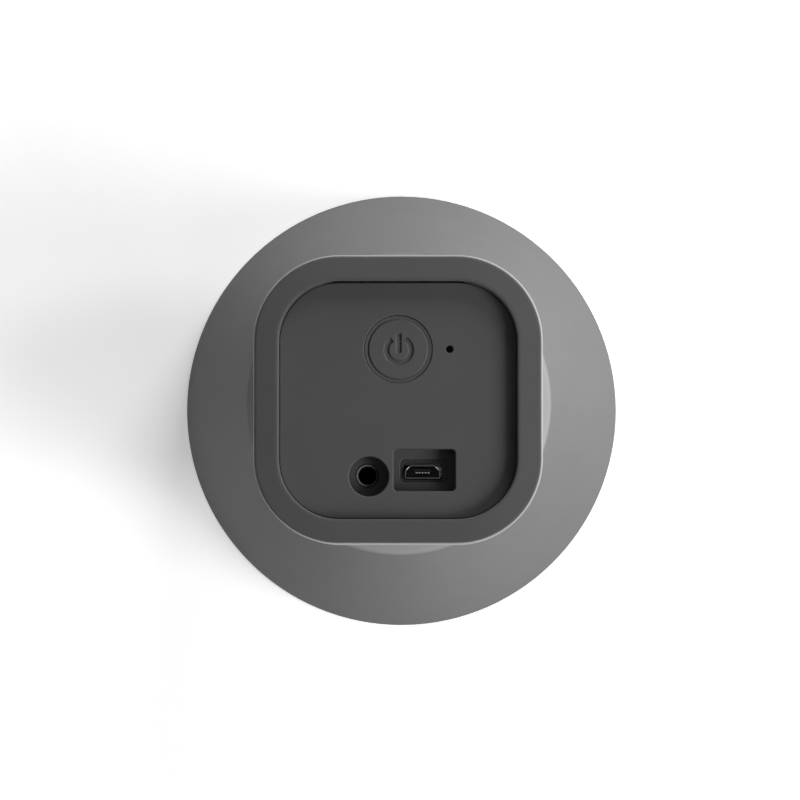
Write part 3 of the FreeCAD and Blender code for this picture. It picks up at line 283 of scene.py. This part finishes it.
# Boards and battery: two printed boards, the radio can and chips, and a foil pouch cell on foam tape.
# The boards sit in rails and on bosses behind the panel, and none of it shows from outside.
dress(moulded("board_mask", (0.012, 0.012, 0.013), roughness=0.32, scale=700, spread=0.12),
      "main_board", "button_board")
dress(plated("can_tin", (0.6, 0.6, 0.58), roughness=0.3, stretch=(0.06, 1, 1)), "radio_module")
dress(moulded("chip_resin", (0.02, 0.02, 0.02), roughness=0.5, scale=6000),
      "board_chips", "switch_body", "switch_plunger")
dress(plated("cell_foil", (0.68, 0.68, 0.7), roughness=0.36, streak=160, stretch=(1, 1, 1)), "battery_cell")
dress(moulded("tape_foam", (0.75, 0.75, 0.73), roughness=0.9, scale=1500, depth=0.1), "battery_tape")
dress(moulded("lamp_epoxy", (0.75, 0.75, 0.7), roughness=0.25, scale=2000), "status_lamp")


# Grille: a perforated steel cup, powder coated dark grey and pressed into the front bore.
# A black dust cloth is stuck behind its holes.
dress(moulded("grille_coat", (0.06, 0.06, 0.062), roughness=0.55, scale=2400, depth=0.08), "grille")
dress(weave("dust_cloth", (0.02, 0.02, 0.021), pitch=0.5, roughness=0.9), "grille_cloth")


# Control plate: the sunk panel in the foot, with its two socket wells, moulded in dark grey plastic.
# Its border is screwed to the neck, and where it shows in the slit over the panel it is painted near black
# as painted shade.
# The step in the square well is painted darker than the rest, a painted shadow from its upper wall.
panel_grey, slit_shade_black = (0.083, 0.083, 0.084), (0.006, 0.006, 0.006, 1)
slit_start, slit_shade_level = 24.7, 67.12
step_foot, step_top, step_painted_shade = 62.95, 63.1, 0.5
panel = moulded("panel_matte", panel_grey, roughness=0.6, shine=0.15)
nodes, links = panel.node_tree.nodes, panel.node_tree.links
place = nodes.new("ShaderNodeTexCoord")
parts = nodes.new("ShaderNodeSeparateXYZ")
# Painted shade: the border under the slit over the panel is painted near black.
over = nodes.new("ShaderNodeMath")
over.operation = "GREATER_THAN"
over.inputs[1].default_value = slit_start * millimetre
below = nodes.new("ShaderNodeMath")
below.operation = "LESS_THAN"
below.inputs[1].default_value = slit_shade_level * millimetre
slit_shaded = nodes.new("ShaderNodeMath")
slit_shaded.operation = "MULTIPLY"
links.new(place.outputs["Object"], parts.inputs["Vector"])
links.new(parts.outputs["Y"], over.inputs[0])
links.new(parts.outputs["Z"], below.inputs[0])
links.new(over.outputs["Value"], slit_shaded.inputs[0])
links.new(below.outputs["Value"], slit_shaded.inputs[1])
# Painted shade: everything below the step's top is painted darker.
step_shade = nodes.new("ShaderNodeMapRange")
step_shade.inputs["From Min"].default_value = step_foot * millimetre
step_shade.inputs["From Max"].default_value = step_top * millimetre
step_shade.inputs["To Min"].default_value = step_painted_shade
step_shaded = nodes.new("ShaderNodeVectorMath")
step_shaded.operation = "SCALE"
links.new(parts.outputs["Z"], step_shade.inputs["Value"])
links.new(step_shade.outputs["Result"], step_shaded.inputs["Scale"])
links.new(nodes["tint"].outputs["Result"], step_shaded.inputs[0])
slit_shade = nodes.new("ShaderNodeMix")
slit_shade.data_type = "RGBA"
slit_shade.inputs["B"].default_value = slit_shade_black
links.new(slit_shaded.outputs["Value"], slit_shade.inputs["Factor"])
links.new(step_shaded.outputs["Vector"], slit_shade.inputs["A"])
links.new(slit_shade.outputs["Result"], nodes["Principled BSDF"].inputs["Base Color"])
dress(panel, "control_plate")


# Glue bead: a thin line of dark grey glue that fills the joint between the panel and the foot ring.
# It runs out at both ends of the slit over the panel. Two rounded outlines are bridged and pulled down.
bead_top, bead_foot, bead_thin = 67.17, 66.62, 0.02
slit_half, bead_taper = 14.1, 3.0
ring_side = {"half_width": 25.545, "half_height": 25.545, "corner": 12.945, "shift": 0}
panel_side = {"half_width": 25.485, "half_height": 25.355, "corner": 12.885, "shift": -0.13}


def rounded_outline(mesh, half_width, half_height, corner, shift):
    outline = mesh.faces.new([
        mesh.verts.new(Vector((across * half_width, up * half_height + shift, bead_top)) * millimetre)
        for across, up in ((1, 1), (-1, 1), (-1, -1), (1, -1))])
    bmesh.ops.bevel(mesh, geom=outline.verts[:], offset=corner * millimetre, affect="VERTICES", segments=40,
                    profile=0.5, material=-1)


def corners_of(geometry):
    return [part for part in geometry if isinstance(part, bmesh.types.BMVert)]


def as_piece(mesh, name, material, sharp=30):
    bmesh.ops.recalc_face_normals(mesh, faces=mesh.faces)
    data = bpy.data.meshes.new(name)
    mesh.to_mesh(data)
    mesh.free()
    data.shade_smooth()
    data.set_sharp_from_angle(angle=math.radians(sharp))
    data.materials.append(material)
    piece = bpy.data.objects.new(name, data)
    bpy.context.scene.collection.objects.link(piece)
    return piece


bead = bmesh.new()
rounded_outline(bead, **ring_side)
rounded_outline(bead, **panel_side)
bmesh.ops.delete(bead, geom=bead.faces[:], context="FACES_ONLY")
bmesh.ops.bridge_loops(bead, edges=bead.edges[:])
slit = [f for f in bead.faces if abs(f.calc_center_median().x) < slit_half * millimetre
        and f.calc_center_median().y > 0]
bmesh.ops.delete(bead, geom=slit, context="FACES")
for corner in bead.verts:
    if corner.co.y > 0:
        full = min(1, max(0, (abs(corner.co.x) / millimetre - slit_half) / bead_taper))
        corner.co.z = (bead_foot + bead_thin + (bead_top - bead_foot - bead_thin) * full) * millimetre
bmesh.ops.recalc_face_normals(bead, faces=bead.faces)
pulled = bmesh.ops.extrude_face_region(bead, geom=bead.faces[:])["geom"]
for corner in corners_of(pulled):
    corner.co.z = bead_foot * millimetre
seal = as_piece(bead, "glue_bead", moulded("bead_glue", panel_grey, roughness=0.6, shine=0.15))
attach(seal, "base")


# Power button: a round key with a sunk ring round its cap and the usual standby sign cut into its face.
# It is moulded in the panel's plastic, is held by a lip behind the panel and slides in the panel's hole.
panel_top = 67.2
button_centre = Vector((0, 10.9, 0)) * millimetre
stem = [(0, 62.2), (1.7, 62.2), (1.7, 64.25)]
lip = [(8.2, 64.25), (8.2, 65.05), (7.22, 65.05)]
edge = [(7.22, 66.9), (7.2, 66.96), (7.14, 66.99), (7.08, 67.0)]
sunk_ring = [(6.9, 67.0), (6.48, 66.84), (6.44, 66.84), (6.24, 67.16)]
face = [(6.18, panel_top), (6.08, panel_top), (0, panel_top)]
sign_centre = button_centre + Vector((0.1, -0.18, 0)) * millimetre
sign_radius, sign_stroke, sign_opening = 2.66, 1.36, 62
sign_depth, sign_slope = 0.36, 0.3
bar_length, bar_rise, bar_corner, bar_slope = 4.5, 1.45, 0.4, 0.95 * sign_slope
cutter_head, hair = 0.2, 0.001


def turned(outline, steps=128, angle=math.tau):
    mesh = bmesh.new()
    points = [mesh.verts.new((r * millimetre, 0, z * millimetre)) for r, z in outline]
    for first, second in zip(points, points[1:]):
        mesh.edges.new((first, second))
    bmesh.ops.spin(mesh, geom=mesh.verts[:] + mesh.edges[:], cent=(0, 0, 0), axis=(0, 0, 1), angle=angle,
                   steps=steps, use_merge=angle == math.tau)
    bmesh.ops.remove_doubles(mesh, verts=mesh.verts, dist=1e-7)
    return mesh


def cut_away(piece, cutters):
    for cutter in cutters:
        change = piece.modifiers.new("cut", "BOOLEAN")
        change.operation = "DIFFERENCE"
        change.solver = "EXACT"
        change.object = cutter
    graph = bpy.context.evaluated_depsgraph_get()
    result = bpy.data.meshes.new_from_object(piece.evaluated_get(graph))
    piece.modifiers.clear()
    piece.data = result
    for cutter in cutters:
        bpy.data.objects.remove(cutter)
    result.shade_smooth()
    result.set_sharp_from_angle(angle=math.radians(30))


button_matte = moulded("button_matte", panel_grey, roughness=0.58, shine=0.15)
cap = turned(stem + lip + edge + sunk_ring + face)
bmesh.ops.translate(cap, verts=cap.verts, vec=button_centre)
key = as_piece(cap, "power_key", button_matte)

half, floor_half = sign_stroke / 2, sign_stroke / 2 - sign_slope
sign_floor, cutter_top = panel_top - sign_depth, panel_top + cutter_head
arc = turned([(sign_radius - half, cutter_top), (sign_radius - half, panel_top),
              (sign_radius - floor_half, sign_floor), (sign_radius + floor_half, sign_floor),
              (sign_radius + half, panel_top), (sign_radius + half, cutter_top),
              (sign_radius - half, cutter_top)], steps=72, angle=math.radians(360 - sign_opening))
bmesh.ops.holes_fill(arc, edges=arc.edges, sides=0)
bmesh.ops.rotate(arc, verts=arc.verts, cent=(0, 0, 0),
                 matrix=Matrix.Rotation(math.radians(90 + sign_opening / 2), 3, "Z"))
bmesh.ops.translate(arc, verts=arc.verts, vec=sign_centre)
bar = bmesh.new()
bmesh.ops.create_cube(bar, size=millimetre)
bmesh.ops.scale(bar, verts=bar.verts, vec=(sign_stroke, bar_length, 2 * sign_depth))
bmesh.ops.translate(bar, verts=bar.verts, vec=sign_centre + Vector((0, bar_rise, panel_top)) * millimetre)
uprights = [e for e in bar.edges if abs(e.verts[0].co.z - e.verts[1].co.z) > hair * millimetre]
bmesh.ops.bevel(bar, geom=uprights, offset=bar_corner * millimetre, affect="EDGES", segments=5, profile=0.5,
                material=-1)
foot = [e for e in bar.edges if max(v.co.z for v in e.verts) < (panel_top - sign_depth / 2) * millimetre]
bmesh.ops.bevel(bar, geom=foot, offset=bar_slope * millimetre, affect="EDGES", segments=1, profile=0.5,
                material=-1)
cut_away(key, [as_piece(arc, "sign_arc", button_matte), as_piece(bar, "sign_bar", button_matte)])
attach(key, "button")
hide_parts("power_button")


# Light pipe: a smoked clear rod behind the pin hole beside the button, which lights up in use.
# It is held by its collar behind the panel.
dress(moulded("pipe_smoke", (0.004, 0.004, 0.004), roughness=0.3, scale=2000, shine=0.02), "light_pipe")


# Audio socket: a black moulded body on the main board, with a painted highlight ring round the mouth of its
# nose.
# The nose stands in the floor of the round well.
jack_axis = Vector((-6.65, -16.15, 0))
rim_inside, rim_fade, rim_highlight_grey = 1.98, 0.08, (0.34, 0.34, 0.34, 1)
socket_black = moulded("socket_black", (0.006, 0.006, 0.006), roughness=0.5, shine=0.04)
nodes, links = socket_black.node_tree.nodes, socket_black.node_tree.links
place = nodes.new("ShaderNodeTexCoord")
flat = nodes.new("ShaderNodeVectorMath")
flat.operation = "MULTIPLY"
flat.inputs[1].default_value = (1, 1, 0)
from_axis = nodes.new("ShaderNodeVectorMath")
from_axis.operation = "DISTANCE"
from_axis.inputs[1].default_value = jack_axis * millimetre
# Painted highlight: a lighter ring round the mouth of the nose.
rim_highlight = nodes.new("ShaderNodeMapRange")
rim_highlight.inputs["From Min"].default_value = rim_inside * millimetre
rim_highlight.inputs["From Max"].default_value = (rim_inside + rim_fade) * millimetre
links.new(place.outputs["Object"], flat.inputs[0])
links.new(flat.outputs["Vector"], from_axis.inputs[0])
links.new(from_axis.outputs["Value"], rim_highlight.inputs["Value"])
rim_highlighted = nodes.new("ShaderNodeMix")
rim_highlighted.data_type = "RGBA"
rim_highlighted.inputs["B"].default_value = rim_highlight_grey
links.new(rim_highlight.outputs["Result"], rim_highlighted.inputs["Factor"])
links.new(nodes["tint"].outputs["Result"], rim_highlighted.inputs["A"])
links.new(rim_highlighted.outputs["Result"], nodes["Principled BSDF"].inputs["Base Color"])
dress(socket_black, "jack_socket")


# Charging socket: a plated steel shell folded round a black tongue with five tinned contacts.
# The shell is soldered to the main board and comes up through the slot in the square well.
# Its outline is raised, inset and sunk. Its slanted corners carry painted glints, and its inside is painted
# darker than its mouth: the black floor is real, the dark of its metal walls is painted shade.
socket_middle = Vector((5.2, -15.35, 0))
shell_outline = [(-3.85, -1.5), (3.85, -1.5), (3.85, 0.3), (2.65, 1.5), (-2.65, 1.5), (-3.85, 0.3)]
shell_mouth, shell_back, shell_wall, shell_bore = 63.4, 57.8, 0.3, 5.3
fold_round, lip_round = 0.42, 0.09
shade_start, slant_start, slant_low, slant_high = 0.3, 2.9, 0.45, 1.35
mouth_level, upright_limit = (shell_mouth - 0.01) * millimetre, 0.5
shell_tin = plated("shell_tin", (0.06, 0.06, 0.06), roughness=0.3)
shell_floor_and_shade = moulded("shell_floor_and_shade", (0.03, 0.03, 0.03), roughness=0.5, shine=0.25)
shell_painted_glint = plated("shell_painted_glint", (0.3, 0.3, 0.3), roughness=0.3)
shell = bmesh.new()
shell.faces.new([shell.verts.new((Vector((x, y, shell_back)) + socket_middle) * millimetre)
                 for x, y in shell_outline])
bmesh.ops.bevel(shell, geom=shell.verts[:], offset=fold_round * millimetre, affect="VERTICES", segments=4,
                profile=0.5, material=-1)
bmesh.ops.recalc_face_normals(shell, faces=shell.faces)
raised = bmesh.ops.extrude_face_region(shell, geom=shell.faces[:])["geom"]
bmesh.ops.translate(shell, verts=corners_of(raised), vec=(0, 0, (shell_mouth - shell_back) * millimetre))
bmesh.ops.recalc_face_normals(shell, faces=shell.faces)
mouth_face = [f for f in shell.faces if min(v.co.z for v in f.verts) > mouth_level]
bmesh.ops.inset_region(shell, faces=mouth_face, thickness=shell_wall * millimetre, use_even_offset=True)
sunk = bmesh.ops.extrude_face_region(shell, geom=mouth_face)["geom"]
bmesh.ops.delete(shell, geom=mouth_face, context="FACES")
bmesh.ops.translate(shell, verts=corners_of(sunk), vec=(0, 0, -shell_bore * millimetre))
mouth_edges = [e for e in shell.edges if min(v.co.z for v in e.verts) > mouth_level
               and any(abs(f.normal.z) < upright_limit for f in e.link_faces)]
bmesh.ops.bevel(shell, geom=mouth_edges, offset=lip_round * millimetre, affect="EDGES", segments=2,
                profile=0.5, material=-1)
# Painted shade inside the shell, and painted glints on its slanted corners.
for side in shell.faces:
    spot = side.calc_center_median() / millimetre - socket_middle
    if spot.z < shell_mouth - shade_start:
        side.material_index = 1
    elif abs(spot.x) > slant_start and slant_low < spot.y < slant_high:
        side.material_index = 2
usb_shell = as_piece(shell, "usb_can", shell_tin, sharp=40)
usb_shell.data.materials.append(shell_floor_and_shade)
usb_shell.data.materials.append(shell_painted_glint)
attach(usb_shell, "base")
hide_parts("usb_shell")

dress(moulded("tongue_black", (0.015, 0.015, 0.015), roughness=0.5, shine=0.1), "usb_tongue")
contact_size, contact_place = (0.42, 0.24, 4.6), Vector((0, -0.18, 60.5))
contact_count, contact_pitch, contact_round = 5, 0.65, 0.05
strips = bmesh.new()
for i in range(contact_count):
    made = bmesh.ops.create_cube(strips, size=millimetre)["verts"]
    bmesh.ops.scale(strips, verts=made, vec=contact_size)
    across = Vector((contact_pitch * (i - contact_count // 2), 0, 0))
    bmesh.ops.translate(strips, verts=made, vec=(socket_middle + contact_place + across) * millimetre)
bmesh.ops.bevel(strips, geom=strips.edges[:], offset=contact_round * millimetre, affect="EDGES", segments=2,
                profile=0.5, material=-1)
contacts = as_piece(strips, "usb_contacts", plated("contact_tin", (0.27, 0.27, 0.26), roughness=0.4))
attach(contacts, "base")


# Foot ring: a dark rubber ring with softened edges, glued over the plate's border.
# It keeps the speaker from sliding when it stands on its foot.
dress(moulded("foot_rubber", (0.088, 0.088, 0.089), roughness=0.68, scale=3600, shine=0.15), "foot_ring")


# Studio: a white table whose glow is weaker on the shadow side, which paints part of the shadow, and a white
# backdrop.
# Five soft boxes stand round it, the strongest to the right and at the top of the picture.
# The camera looks down on the foot from a little below and to the right of its middle.
table_half, table_drop, table_paint = 3, 0.05, (0.9, 0.9, 0.9, 1)
painted_shadow_stretch, painted_shadow_shift = (1, 1.8, 1), (0.06, -0.009, 0)
glow_and_painted_shadow_steps = ((0.022, 0.41), (0.055, 0.53), (0.16, 0.53), (0.6, 1.0))
camera_place, camera_aim = Vector((0.0117, -0.0376, 1.11)), Vector((0.0004, 0, 0.067))


def seen_rays(tree):
    path = tree.nodes.new("ShaderNodeLightPath")
    seen = path.outputs["Is Camera Ray"]
    for kind in ("Is Glossy Ray", "Is Transmission Ray"):
        either = tree.nodes.new("ShaderNodeMath")
        either.operation = "MAXIMUM"
        tree.links.new(seen, either.inputs[0])
        tree.links.new(path.outputs[kind], either.inputs[1])
        seen = either.outputs["Value"]
    return seen


table = bmesh.new()
bmesh.ops.create_grid(table, x_segments=2, y_segments=2, size=table_half,
                      matrix=Matrix.Translation((0, 0, -table_drop * millimetre)))
table_mesh = bpy.data.meshes.new("table_top")
table.to_mesh(table_mesh)
table.free()
table_top = bpy.data.objects.new("table_top", table_mesh)
bpy.context.scene.collection.objects.link(table_top)
white = bpy.data.materials.new("table_white")
white.use_nodes = True
nodes, links = white.node_tree.nodes, white.node_tree.links
paint = nodes["Principled BSDF"]
paint.inputs["Base Color"].default_value = table_paint
paint.inputs["Roughness"].default_value = 0.9
glow = nodes.new("ShaderNodeEmission")
place = nodes.new("ShaderNodeTexCoord")
# Painted shadow: the glow is weakest round a point on the shadow side and rises to white further out.
painted_shadow_side = nodes.new("ShaderNodeVectorMath")
painted_shadow_side.operation = "MULTIPLY_ADD"
painted_shadow_side.inputs[1].default_value = painted_shadow_stretch
painted_shadow_side.inputs[2].default_value = painted_shadow_shift
distance = nodes.new("ShaderNodeVectorMath")
distance.operation = "LENGTH"
spread = nodes.new("ShaderNodeValToRGB")
spread.color_ramp.interpolation = "EASE"
steps = spread.color_ramp.elements
steps[0].position, steps[1].position = glow_and_painted_shadow_steps[0][0], glow_and_painted_shadow_steps[1][0]
for far, strength in glow_and_painted_shadow_steps[2:]:
    steps.new(far)
for ramp_step, (far, strength) in zip(steps, glow_and_painted_shadow_steps):
    ramp_step.color = (strength, strength, strength, 1)
links.new(place.outputs["Object"], painted_shadow_side.inputs[0])
links.new(painted_shadow_side.outputs["Vector"], distance.inputs[0])
links.new(distance.outputs["Value"], spread.inputs["Fac"])
links.new(spread.outputs["Color"], glow.inputs["Strength"])
lit = nodes.new("ShaderNodeAddShader")
links.new(paint.outputs["BSDF"], lit.inputs[0])
links.new(glow.outputs["Emission"], lit.inputs[1])
choice = nodes.new("ShaderNodeMixShader")
links.new(seen_rays(white.node_tree), choice.inputs["Fac"])
links.new(paint.outputs["BSDF"], choice.inputs[1])
links.new(lit.outputs["Shader"], choice.inputs[2])
links.new(choice.outputs["Shader"], nodes["Material Output"].inputs["Surface"])
table_mesh.materials.append(white)


def soft_box(name, azimuth, elevation, width, power):
    lamp_aim, lamp_distance = Vector((0, 0, 0.04)), 0.9
    lamp = bpy.data.lights.new(name, "AREA")
    lamp.shape = "SQUARE"
    lamp.size = width
    lamp.energy = power
    holder = bpy.data.objects.new(name, lamp)
    a, e = math.radians(azimuth), math.radians(elevation)
    way = Vector((math.cos(a) * math.cos(e), math.sin(a) * math.cos(e), math.sin(e)))
    turn = way.to_track_quat("Z", "Y").to_matrix().to_4x4()
    holder.matrix_world = Matrix.Translation(lamp_aim + way * lamp_distance) @ turn
    bpy.context.scene.collection.objects.link(holder)


soft_box("box_right", azimuth=-20, elevation=35, width=0.4, power=5.3)
soft_box("box_low_right", azimuth=-45, elevation=30, width=0.5, power=1.7)
soft_box("box_top", azimuth=62, elevation=18, width=0.5, power=7.3)
soft_box("box_bottom", azimuth=-90, elevation=8, width=0.2, power=1.15)
soft_box("box_left", azimuth=180, elevation=6, width=0.15, power=1.55)
world = bpy.data.worlds.new("studio")
world.use_nodes = True
backdrop = world.node_tree.nodes["Background"]
backdrop.inputs["Color"].default_value = (1, 1, 1, 1)
world.node_tree.links.new(seen_rays(world.node_tree), backdrop.inputs["Strength"])
bpy.context.scene.world = world

lens = bpy.data.cameras.new("lens")
lens.lens = 219
lens.sensor_width = 36
lens.clip_start = 0.05
camera = bpy.data.objects.new("camera", lens)
away = (camera_place - camera_aim).normalized()
right = Vector((0, 1, 0)).cross(away).normalized()
facing = Matrix((right, away.cross(right), away)).transposed().to_4x4()
camera.matrix_world = Matrix.Translation(camera_place) @ facing
bpy.context.scene.collection.objects.link(camera)
bpy.context.scene.camera = camera
bpy.context.scene.view_settings.view_transform = "Standard"
